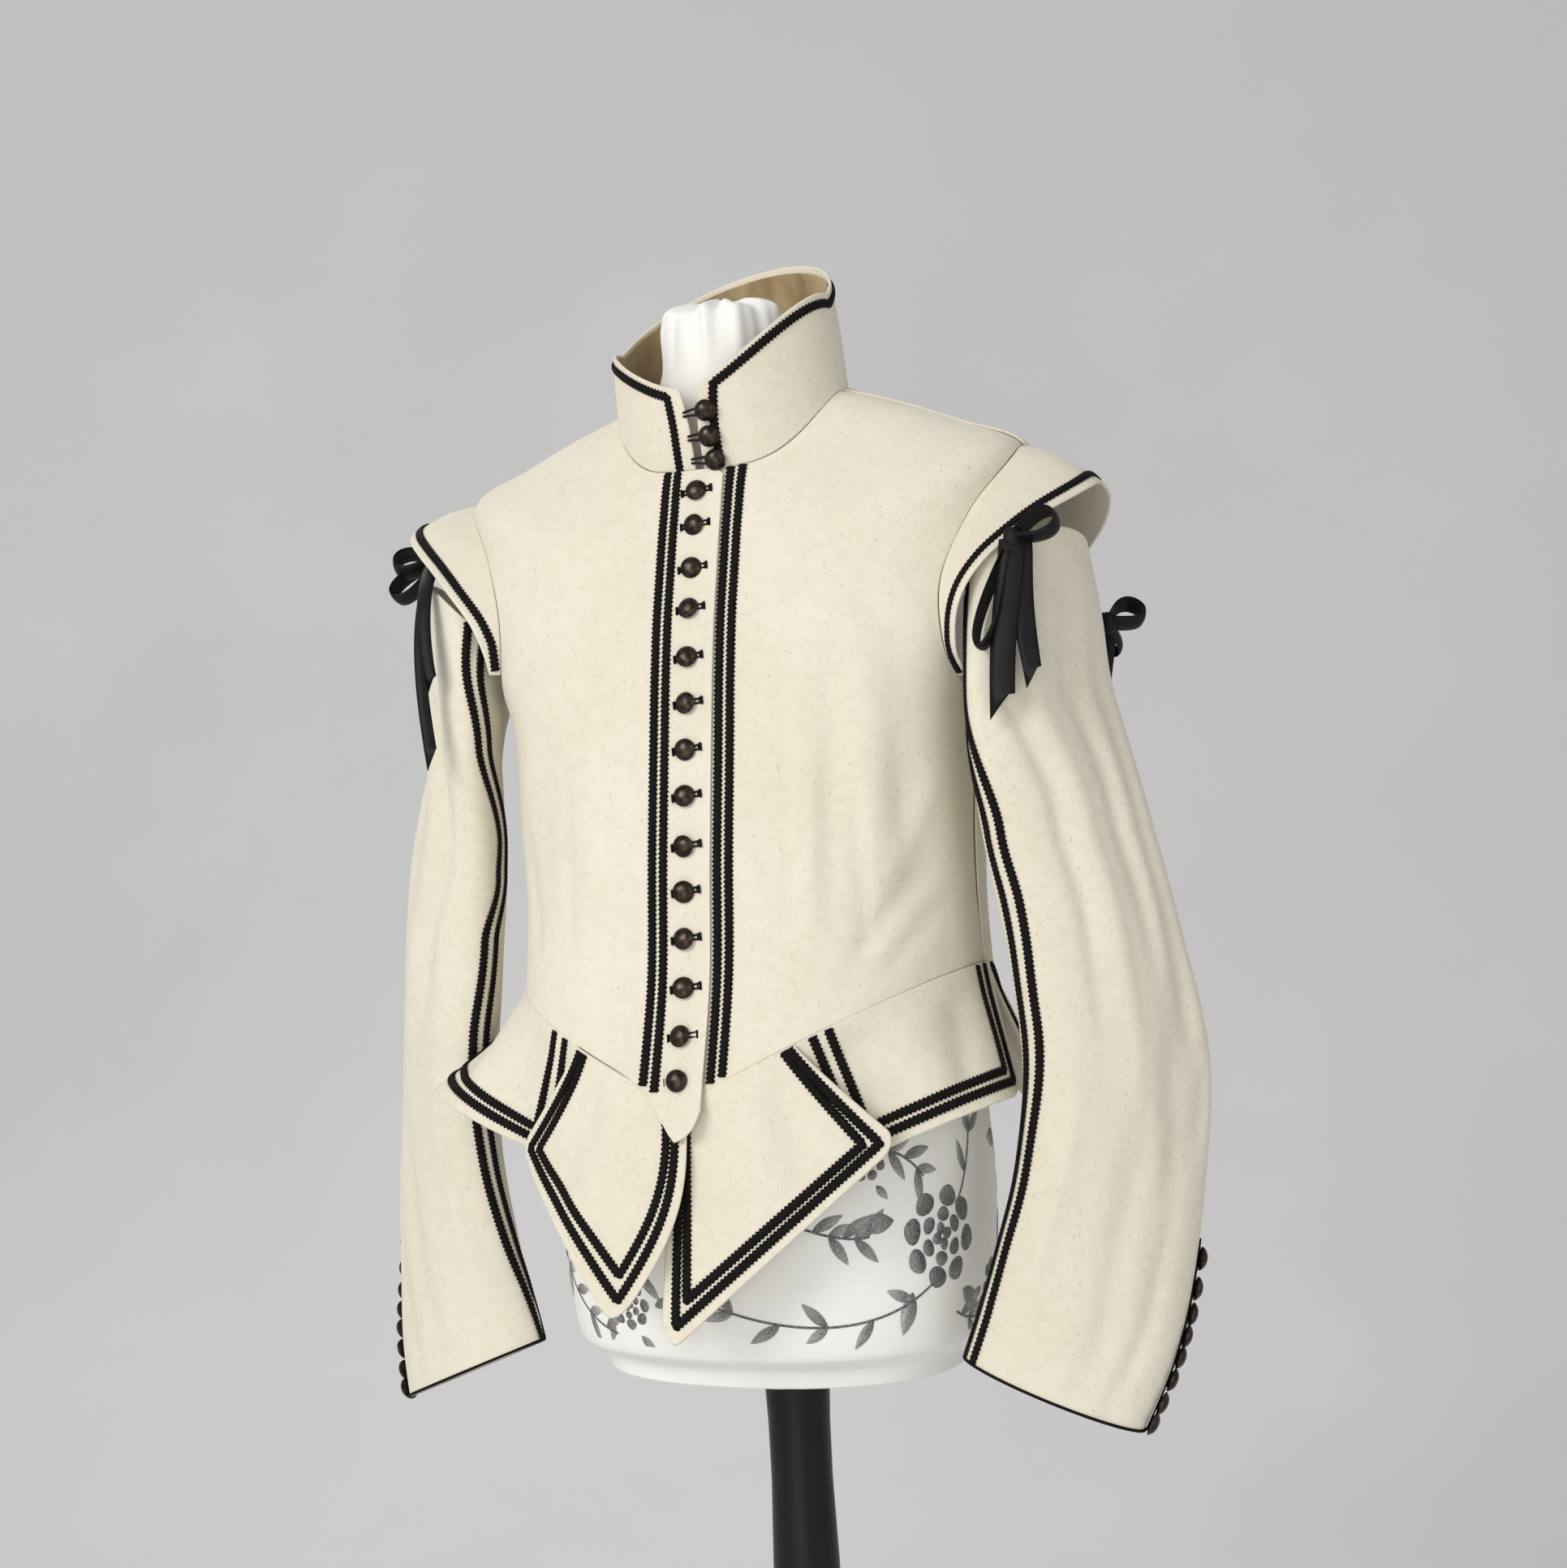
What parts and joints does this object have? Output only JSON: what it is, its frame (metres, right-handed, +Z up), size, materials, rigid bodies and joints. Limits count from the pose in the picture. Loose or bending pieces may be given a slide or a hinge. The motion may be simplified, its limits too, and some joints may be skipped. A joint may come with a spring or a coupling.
{
  "type": "doublet on dress form",
  "caption": "Close-fitting long-sleeved doublet with high collar, shoulder wings and pointed waist tabs, braided and buttoned, on a limbless padded dress form with a post stand.",
  "frame": {"origin": "centre of the stand base's underside, on the floor", "axes": "+Z up along the post; the garment faces -Y and the wearer's left is +X"},
  "size_m": [0.6176, 0.3881, 1.5494],
  "materials": {
    "wool": "cream felted wool with a soft nap",
    "lining": "tan woven lining",
    "braid": "black scalloped braid",
    "button_metal": "dark antiqued metal",
    "ribbon": "black ribbon",
    "form_cloth": "white cotton with charcoal flowers",
    "stand_paint": "black, semi-gloss"
  },
  "bodies": {
    "root": {"front_right": "wool", "front_left": "wool", "back": "wool", "collar": "wool", "wing_left": "wool", "wing_right": "wool", "sleeve_upper_left": "wool", "sleeve_upper_right": "wool", "sleeve_under_left": "wool", "sleeve_under_right": "wool", "tab_front_left": "wool", "tab_front_right": "wool", "tab_side_left": "wool", "tab_side_right": "wool", "tab_rear_left": "wool", "tab_rear_right": "wool", "tab_back_left": "wool", "tab_back_right": "wool", "collar_lining": "lining", "braid_front_right": "braid", "braid_front_left": "braid", "braid_collar": "braid", "braid_wing_left": "braid", "braid_wing_right": "braid", "braid_sleeve_upper_left": "braid", "braid_sleeve_upper_right": "braid", "braid_sleeve_under_left": "braid", "braid_sleeve_under_right": "braid", "braid_tab_front_left": "braid", "braid_tab_front_right": "braid", "braid_tab_side_left": "braid", "braid_tab_side_right": "braid", "braid_tab_rear_left": "braid", "braid_tab_rear_right": "braid", "braid_tab_back_left": "braid", "braid_tab_back_right": "braid", "button_01": "button_metal", "button_02": "button_metal", "button_03": "button_metal", "button_04": "button_metal", "button_05": "button_metal", "button_06": "button_metal", "button_07": "button_metal", "button_08": "button_metal", "button_09": "button_metal", "button_10": "button_metal", "button_11": "button_metal", "button_12": "button_metal", "button_13": "button_metal", "button_14": "button_metal", "button_collar_1": "button_metal", "button_collar_2": "button_metal", "button_collar_3": "button_metal", "sleeve_buttons_left": "button_metal", "sleeve_buttons_right": "button_metal", "bow_left_front": "ribbon", "bow_left_back": "ribbon", "bow_right": "ribbon", "dress_form": "form_cloth", "stand": "stand_paint"}
  },
  "joints": []
}
